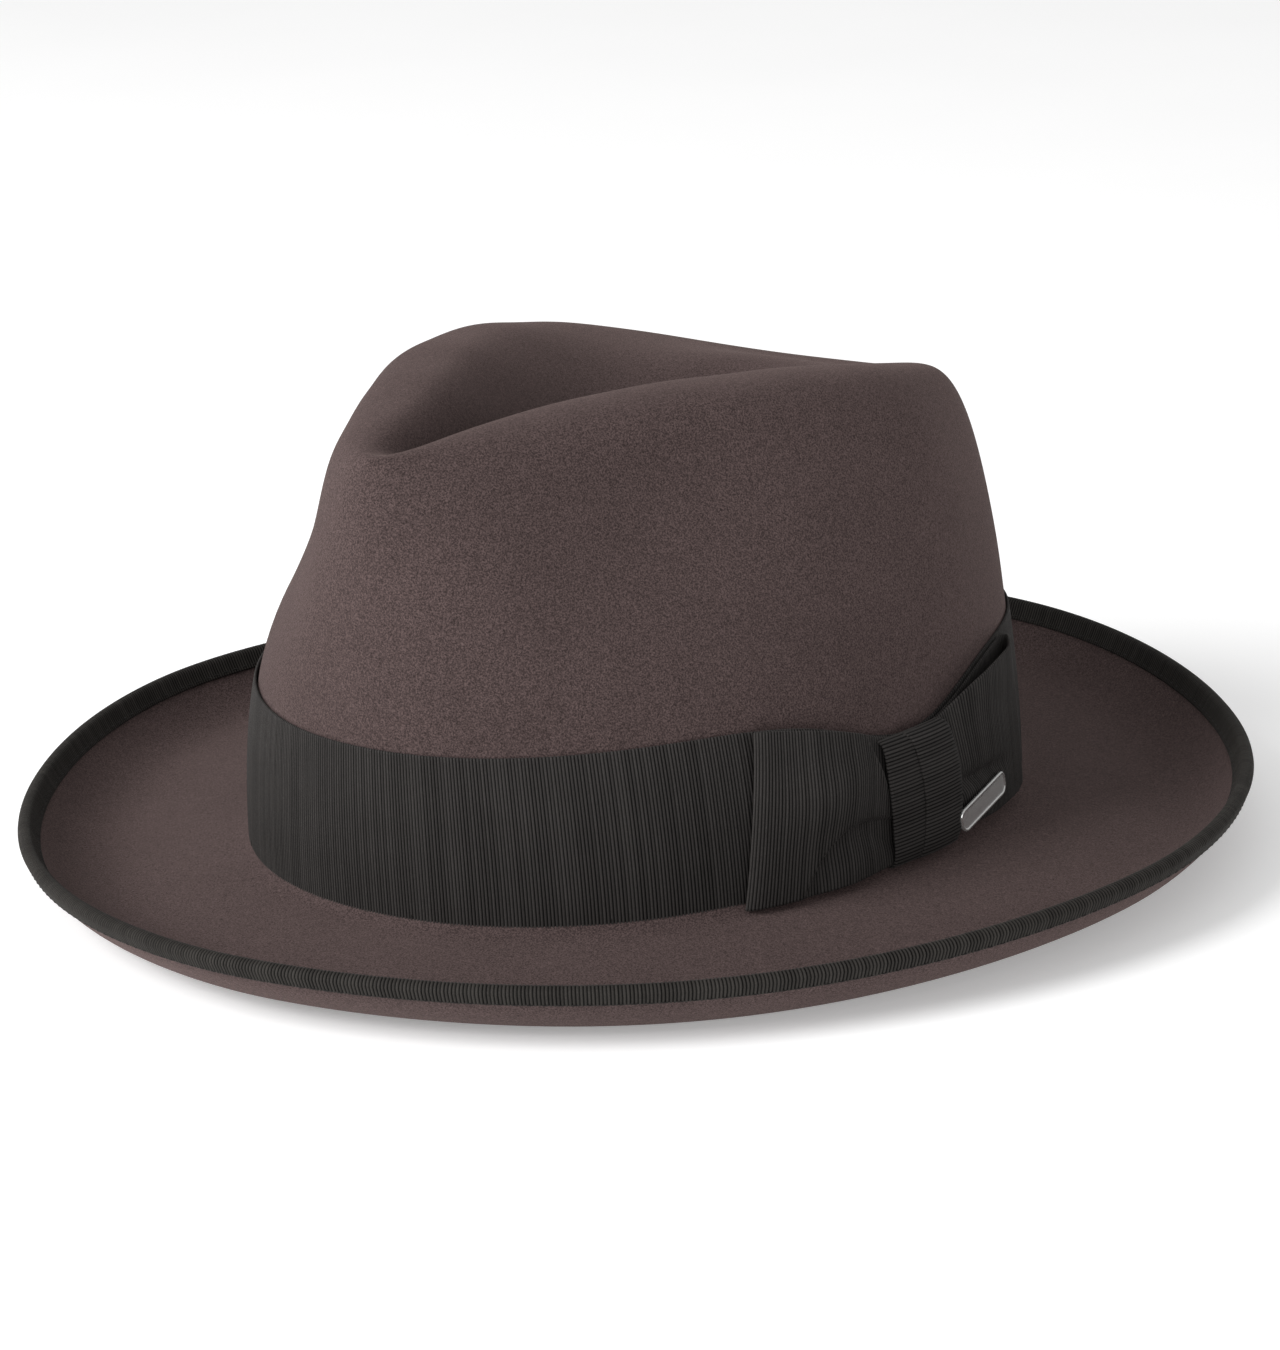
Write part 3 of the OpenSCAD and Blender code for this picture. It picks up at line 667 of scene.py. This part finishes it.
def make_hatband():
    t, girth = even_angles(1)
    ribs = round(girth / RIB_PITCH)
    t, _ = even_angles(ribs * PER_RIB)
    v = rows_across(12)
    t = t[:, None]
    h = mix(band_low(t), band_top(t), v[None, :])
    swell = 0.22 + 0.22 * hills(wall(t, 20.0), 46, 11)
    d = 0.4 + RIB_HEIGHT / 2 + swell * sin(180 * v)[None, :]
    mid = wall_off(t, h, d)
    make("hatband", [ribbon(mid, np.arange(ribs * PER_RIB) / PER_RIB, True, skip=2)], RIBBON_MAT,
         ["hatband_ribbon"])
    tacks = []
    for a in (7.5, 37.5, 142.5, 187.5, 232.5, 277.5, 322.5):
        ends = wall_off(np.array([a, a]), np.array([0.9, 3.2]), 0.72)
        outward = unit(wall_off(a, 2.0, 2.0) - wall_off(a, 2.0, 0.0))
        tacks.append(stitch(ends[0], ends[1], outward, 0.16, 0.3))
    make("hatband_tacks", tacks, THREAD_MAT, ["ribbon_tacks"])


# ---- Bow ----
MM_PER_DEG = 1.53  # along the crown's foot, at the bow
# The bow's plies: how far the middle of each lies off the felt
BACK_PLY, FRONT_PLY = 1.7, 4.0


def loop_path(stations, count):
    """Smooth line through (angle, distance from the felt) stations, shared out evenly by length."""
    s = np.array(stations, float)
    mm = np.stack([s[:, 0] * MM_PER_DEG, s[:, 1]], -1)
    run = np.concatenate([[0], np.cumsum(np.linalg.norm(np.diff(mm, axis=0), axis=-1))])
    fine = np.linspace(0, run[-1], 1200)
    t, d = np.interp(fine, run, s[:, 0]), np.interp(fine, run, s[:, 1])
    for _ in range(120):
        t[1:-1] = (t[:-2] + 2 * t[1:-1] + t[2:]) / 4
        d[1:-1] = (d[:-2] + 2 * d[1:-1] + d[2:]) / 4
    even = np.linspace(0, run[-1], count)
    return np.interp(even, fine, t), np.interp(even, fine, d), run[-1]


def make_front_loop():
    back, front = BACK_PLY, FRONT_PLY
    fold = FRONT_FOLD
    stations = [
        (KNOT - 2, back), (KNOT - 12, back), (fold + 3, back), (fold + 0.9, back + 0.35),
        (fold + 0.1, mix(back, front, 0.5)), (fold + 0.9, front - 0.2), (fold + 3, front + 0.3),
        (fold + 9, front + 0.9), (KNOT - 13, front + 1.1), (KNOT - 8, front - 0.2), (KNOT - 2, front - 0.6),
    ]
    _, _, length = loop_path(stations, 10)
    ribs = round(1.2 * length / RIB_PITCH)
    t, d, _ = loop_path(stations, ribs * PER_BOW_RIB)
    v = rows_across(46)
    turn = int(np.argmin(t))
    outer = (np.arange(len(t)) > turn)[:, None]
    t = t[:, None] + 0 * v[None, :]
    over = np.clip((t - fold) / (KNOT - fold), 0, 1)
    low = band_low(t) + 0.2 + 0.1 * outer
    high = band_top(t) - 0.35 - 0.5 * outer * step(over * 3)
    h = mix(low, high, v[None, :])
    # The fold's line leans towards the knot at the top
    t = t + FOLD_LEAN * (h - 20) * (1 - over)
    arch = 13.8 - 0.155 * (t - 72.5) ** 2 * np.where(t < 72.5, 1, 0.35)
    rise = h - arch
    depth = 2.5 * step((t - 62) / 6)
    groove = depth * np.where(rise > 0, bell(rise / 0.6), bell(rise / 6))
    slope = (t - 74.5) * 1.5 + (h - 33) * 0.37
    valley = 2.8 * step(slope / 2.4) * step((h - 12) / 4)
    pucker = 1.1 * bell((t - 77.3) / 1.3) * bell((h - 25.5) / 6)
    bulge = 1.8 * bell((t - 68.5) / 7) * bell((h - 21) / 8)
    relief = (bulge - groove - valley + pucker) * outer * step((t - fold - 1) / 4)
    d = np.maximum(d[:, None] + relief, np.where(outer, 2.45, 0))
    lean = 2.6 * step((h - arch) / 14) * step((t - 63) / 12) * outer
    swirl = 1.6 * bell((t - 77.3) / 2.2) * bell((h - 25) / 6) * outer
    phase = np.arange(len(t))[:, None] / PER_BOW_RIB + 0 * v[None, :]
    mid = wall_off(t + (lean * 0.35 - swirl * 0.3), h, d)
    make("bow_front_ribbon", [ribbon(mid, phase, skip=2)], RIBBON_MAT, ["bow_front_loop"])


def make_rear_loop():
    back, front = BACK_PLY, FRONT_PLY
    fold = REAR_FOLD
    stations = [
        (KNOT + 2, front - 0.6), (KNOT + 7, front - 0.3), (KNOT + 11, front + 0.8), (KNOT + 16, front + 1.5),
        (fold - 5, front + 1.3), (fold - 1.6, front + 0.5), (fold - 0.2, front - 0.5),
        (fold - 0.2, back + 0.7), (fold - 1.4, back + 0.1), (fold - 4, back), (KNOT + 12, back),
        (KNOT + 2, back),
    ]
    _, _, length = loop_path(stations, 10)
    ribs = round(1.2 * length / RIB_PITCH)
    t, d, _ = loop_path(stations, ribs * PER_BOW_RIB)
    v = rows_across(40)
    turn = int(np.argmax(t))
    outer = (np.arange(len(t)) < turn)[:, None]
    t = t[:, None] + 0 * v[None, :]
    over = np.clip((fold - t) / (fold - KNOT), 0, 1)
    low = band_low(t) + 0.3 + REAR_RISE * (1 - over) * outer
    high = band_top(t) - 0.3 + 1.3 * outer * bell((t - KNOT - 14) / 6)
    h = mix(low, high, v[None, :])
    crease = 2.0 * bell((h - 13.2) / 1.8) * step((t - KNOT - 5) / 3) * step((fold - 6 - t) / 8)
    mouth = 1.1 * step((h - 24) / 14) * step((t - KNOT - 8) / 8)
    relief = (mouth - crease) * outer * step((fold - t - 1) / 4)
    d = np.maximum(d[:, None] + relief, np.where(outer, 2.6, 0))
    fan = (0.5 - v[None, :]) * 3.4 * bell((t - KNOT - 9) / 6) * outer
    phase = np.arange(len(t))[:, None] / PER_BOW_RIB + 0 * v[None, :]
    mid = wall_off(t + fan, h, d)
    make("bow_rear_ribbon", [ribbon(mid, phase, skip=2)], RIBBON_MAT, ["bow_rear_loop"])


def knot_strip(left, right, narrow, lift, sag):
    """One ply of the knot: up behind the bow, over its top, down its face and back under."""
    low, high = band_low(KNOT) - 0.9, band_top(KNOT) + 0.9
    back, front = 1.05, 5.2 + lift
    stations = [
        (low + 6, back), (high - 2, back), (high - 0.6, back + 0.6), (high + 0.1, mix(back, front, 0.5)),
        (high - 0.6, front - 0.7), (high - 2.4, front - 0.1), (mix(low, high, 0.6), front + 0.25),
        (low + 3, front), (low + 0.8, front - 0.6), (low + 0.2, mix(back, front, 0.5)),
        (low + 0.8, back + 0.6),
        (low + 2, back), (low + 5, back),
    ]
    stations = [(a / MM_PER_DEG, b) for a, b in stations]
    _, _, length = loop_path(stations, 10)
    ribs = round(length / RIB_PITCH)
    h, d, _ = loop_path(stations, ribs * PER_BOW_RIB)
    h = h * MM_PER_DEG
    v = rows_across(18, 0.02)[::-1]
    ends = ((2 * h - low - high) / (high - low))[:, None] ** 2
    t = mix(left - narrow[0] * ends, right - narrow[1] * ends, v[None, :])
    crown = sag * (1 - (2 * v[None, :] - 1) ** 2) * step((d[:, None] - 3.4) / 1.5)
    mid = wall_off(t, h[:, None], d[:, None] + crown)
    return ribbon(mid, np.arange(len(h)) / PER_BOW_RIB, skip=2)


def make_knot():
    under = knot_strip(KNOT - KNOT_HALF + 0.1, KNOT + 0.6, (0, 0), 0.0, 0.25)
    over = knot_strip(KNOT - 0.7, KNOT + KNOT_HALF + 0.4, (1.4, 1.5), 0.62, 0.35)
    make("bow_knot_wrap", [under, over], RIBBON_MAT, ["bow_knot"])


# ---- Badge ----
def pill(length, height, r, inset, count=96):
    """Outline of a plate with round corners, drawn in by inset: x along it and z across it."""
    half_l, half_h, r = length / 2 - inset, height / 2 - inset, max(r - inset, 0.0)
    a = (np.arange(count) + 0.5) * 360 / count
    x = np.sign(cos(a)) * (half_l - r) + r * cos(a)
    z = np.sign(sin(a)) * (half_h - r) + r * sin(a)
    return x, z


def plate(length, height, r, profile, bend=None, middle=0.0):
    """A thin plate in the badge's place; its profile is a list of (inset, height off its back, tone)."""
    spot = wall_off(BADGE_DEG, BADGE_Z, 6.2)
    ahead = wall(BADGE_DEG + 1, BADGE_Z) - wall(BADGE_DEG - 1, BADGE_Z)
    along = unit(np.array([ahead[0], ahead[1], 0.0]))
    out = np.array([along[1], -along[0], 0.0])
    up = np.array([0.0, 0.0, 1.0])
    tilted = along * cos(BADGE_TILT) + up * sin(BADGE_TILT)
    raised = up * cos(BADGE_TILT) - along * sin(BADGE_TILT)
    rows, tones = [], []
    for inset, height_off, tone in profile:
        x, z = pill(length, height, r, inset)
        x = x + middle
        inward = bend - np.sqrt(bend**2 - x**2) if bend else 0 * x
        rows.append(spot + tilted * x[:, None] + raised * z[:, None] + out * (height_off - inward)[:, None])
        tones.append(np.full(len(x), tone))
    return shell(np.stack(rows, 1), True, False, np.stack(tones, 1))


def make_badge():
    half = BADGE_H / 2
    profile = [(half, 0, 0.5), (0.15, 0, 0.5), (0, 0.14, 1), (0, 0.55, 1), (0.12, 0.74, 1), (0.3, 0.8, 1),
               (0.5, 0.8, 1), (0.66, 0.74, 1), (0.76, 0.6, 1), (0.84, 0.56, 0.5), (1.4, 0.56, 0.5),
               (half, 0.56, 0.5)]
    face = plate(BADGE_L, BADGE_H, BADGE_R, profile, BADGE_BEND)
    make("badge", [face], METAL_MAT, ["badge_plate"], weld=True)
    rivet = [(1.2, -1.25, 0.5), (0.25, -1.25, 0.5), (0, -1.15, 0.5), (0, -0.95, 0.5), (0.12, -0.85, 0.5),
             (1.2, -0.8, 0.5)]
    ends = BADGE_L / 2 - 3
    rivets = [plate(2.4, 2.4, 1.2, [(i, z - 0.34, k) for i, z, k in rivet], None, x) for x in (-ends, ends)]
    make("badge_rivet_heads", rivets, RIVET_MAT, ["badge_rivets"], weld=True)


# ---- Inside: sweatband, reed and lining ----
def below_foot(t, drop, d):
    return wall_off(t, 0.0, d) - np.array([0, 0, 1.0]) * np.asarray(drop)[..., None]


def make_sweatband():
    t = (np.arange(720) / 2)[:, None]
    h = np.concatenate([[0, 0.3], np.linspace(1, SWEAT_H - 1, 26), [SWEAT_H - 0.3, SWEAT_H]])[None, :]
    lean = 0.25 * hills(wall(t + 0 * h, 15.0 + 0 * h), 60, 21) * step(h / SWEAT_H)
    seam = 0.35 * bell((t - 180) / 0.35)
    stitched = 0.2 * bell((h - 2.5) / 0.6)
    soft = 0.25 * (bell(h / 0.4) + bell((h - SWEAT_H) / 0.4))
    outer = wall_off(t, h, -SWEAT_IN - 0.1 + lean * 0.4 - soft)
    inner = wall_off(t, h, -SWEAT_IN - SWEAT_T + lean + seam + stitched + soft)
    make("sweatband_band", [shell(two_faces(inner, outer), True)], LEATHER_MAT,
         ["sweatband"])
    seams = []
    for a in np.arange(0, 360, 1.5):
        ends = wall_off(np.array([a, a + 0.95]), np.array([2.5, 2.5]), -SWEAT_IN - SWEAT_T + 0.1)
        inward = unit(wall_off(a, 2.5, -6.0) - wall_off(a, 2.5, 0.0))
        seams.append(stitch(ends[0], ends[1], inward, 0.16, 0.36))
    for k in range(20):
        sides = 180 + 0.55 * np.array([-1, 1]) * (1 if k % 2 else -1)
        ends = wall_off(sides, np.array([4.5, 5.6]) + k * 1.25, -SWEAT_IN - SWEAT_T - 0.05)
        inward = unit(wall_off(180.0, 10.0, -6.0) - wall_off(180.0, 10.0, 0.0))
        seams.append(stitch(ends[0], ends[1], inward, 0.13, 0.3))
    make("sweatband_seams", seams, THREAD_MAT, ["sweatband_stitches"])


def make_reed():
    t = np.arange(480) * 0.75
    depth, drop = SWEAT_IN + SWEAT_T / 2, REED_R + 0.9
    make("reed", [tube(below_foot(t, 0 * t + drop, -depth), REED_R, 12)], REED_MAT,
         ["sweatband_reed"])
    a = np.radians(40 - 260 * np.linspace(0, 1, 17))
    tape = []
    for radius in (REED_R + 0.4, REED_R + 0.12):
        slack = 0.06 * hills(wall(t, 0 * t), 9, 5)[:, None]
        ring = radius + slack * (radius > 1)
        tape.append(below_foot(t[:, None], drop - ring * np.sin(a), -depth + ring * np.cos(a)))
    tape = two_faces(tape[0], tape[1])[:, ::-1]
    make("reed_cover", [shell(tape, True)], TAPE_MAT, ["reed_tape"])


def make_sweatband_trim():
    v = rows_across(10, 0.02)
    count = 90
    h = np.linspace(2, 26, count)
    t = mix(175, 185, v[None, :])
    mid = wall_off(t, h[:, None], -SWEAT_IN + 0.35)
    make("seam_backing", [ribbon(mid, np.arange(count) / PER_RIB, thick=0.2, height=0.06)], TAPE_MAT,
         ["sweatband_seam_tape"])
    face = -SWEAT_IN - SWEAT_T - 0.45
    bows = []
    for side in (-1, 1):
        stations = [(0.2, face), (4, face - 0.1), (7.4, face), (8.2, face - 0.45), (7.2, face - 1.0),
                    (4, face - 1.25), (0.2, face - 0.7)]
        a, d, _ = loop_path(stations, 96)
        half = 1.6 + 3.2 * np.clip(a / 8, 0, 1) ** 0.8
        rows = (2 * v - 1)[None, :] * half[:, None]
        wing = wall_off(180 + side * a[:, None], 8 + rows, d[:, None])
        bows.append(ribbon(wing, np.arange(96) / PER_RIB, thick=0.3, height=0.08))
    wrap = mix(178.5, 181.5, v[None, :])
    stations = [(-2, face), (-2.2, face - 0.8), (-1.6, face - 1.6), (0, face - 1.75), (1.6, face - 1.6),
                (2.2, face - 0.8), (2, face)]
    a, d, _ = loop_path(stations, 45)
    mid = wall_off(wrap, 8 + 1.25 * a[:, None], d[:, None])
    bows.append(ribbon(mid, np.arange(45) / PER_RIB, thick=0.3, height=0.08))
    make("sweatband_back_bow", bows, TAPE_MAT, ["sweatband_bow"])


def make_lining(outer, normal):
    """Satin lining inside the crown: side strip, tip and the piping between them."""
    depths = (LINING_IN, LINING_IN + LINING_T)
    t = (np.arange(len(outer)) * 360 / len(outer))[:, None]
    rows = slice(TIP_ROW, LINING_FOOT_ROW + 1)
    side, up = outer[:, rows], normal[:, rows]
    down = np.linspace(0, 1, LINING_FOOT_ROW - TIP_ROW + 1)[None, :]
    pleats = 0.5 + 0.3 * sin(t * 46 + 40 * sin(t * 3)) + 0.5 * hills(side, 26, 31)
    folds = 0.55 * np.maximum(pleats, 0) * step(down / 0.2) * (1 - 0.75 * step((down - 0.72) / 0.28))
    faces = [side - up * (depth + folds)[..., None] for depth in depths]
    make("lining_side_strip", [shell(two_faces(faces[1], faces[0]), True)], SATIN_MAT,
         ["lining_side"])
    tip, up = outer[:, :TIP_ROW], normal[:, :TIP_ROW]
    inward = np.linspace(0, 1, TIP_ROW)[None, :]
    soft = 0.35 * (1 + hills(tip, 30, 33)) * step(inward / 0.3) * (1 - step((inward - 0.85) / 0.15))
    faces = [tip - up * (depth + soft)[..., None] for depth in depths]
    points, quads, tone = shell(two_faces(faces[0], faces[1]), True, False)
    make("lining_tip_piece", [(points, quads[:, ::-1], tone)], SATIN_MAT, ["lining_tip"], weld=True)
    ring = outer[:, TIP_ROW] - normal[:, TIP_ROW] * (LINING_IN + LINING_T + 0.65)
    fine = np.linspace(0, len(ring), 1200, endpoint=False)
    ring = np.concatenate([ring, ring[:1]])
    path = np.stack([np.interp(fine, np.arange(len(ring)), ring[:, k]) for k in range(3)], -1)
    make("lining_piping", [tube(path, 0.5, 12, True, 170, 2, 0.14)], SATIN_MAT, ["lining_cord"])


def make_label():
    t, h = np.linspace(196, 203, 20)[:, None], np.linspace(24, 36, 20)[None, :]
    curled = -0.5 * step((h - 30) / 6) ** 2
    mid = wall_off(t, h, -SWEAT_IN + 0.37 + curled)
    thin = face_normals(mid, False) * 0.08
    sheet = two_faces(mid + thin, mid - thin)
    make("label", [shell(sheet, False)], PAPER_MAT, ["size_label"])


make_camera()
SKIN, SKIN_NORMAL = felt_faces()
make_felt(SKIN, SKIN_NORMAL)
make_binding()
make_hatband()
make_front_loop()
make_rear_loop()
make_knot()
make_badge()
make_sweatband()
make_reed()
make_sweatband_trim()
make_lining(SKIN, SKIN_NORMAL)
make_label()


# ---- Floor and light ----
LIT_POINT = (0, 0, 0.06)


def make_floor():
    x = np.linspace(-4000, 4000, 5)
    grid = xyz(x[:, None], x[None, :], 0 * x[:, None])
    points, quads, tone = shell(grid, False, False)
    make("floor", [(points, quads, tone)], floor_material(), stage=True)


def area_light(name, place, size, power):
    data = bpy.data.lights.new(name, "AREA")
    data.shape = "DISK"
    data.size = size
    data.energy = power
    light = bpy.data.objects.new(name, data)
    light.location = place
    light.rotation_euler = (Vector(place) - Vector(LIT_POINT)).to_track_quat("Z", "Y").to_euler()
    bpy.context.scene.collection.objects.link(light)


def make_light():
    world = bpy.data.worlds.new("studio")
    world.use_nodes = True
    world.node_tree.nodes["Background"].inputs["Color"].default_value = (1, 1, 1, 1)
    world.node_tree.nodes["Background"].inputs["Strength"].default_value = 0.53
    bpy.context.scene.world = world
    bpy.context.scene.view_settings.view_transform = "Standard"
    area_light("key", (-0.65, -1.5, 1.15), 1.2, 34)
    area_light("front", (1.36, -1.18, 0.36), 1.0, 9)
    area_light("left", (-1.6, -0.9, 0.6), 1.0, 7)


make_floor()
make_light()
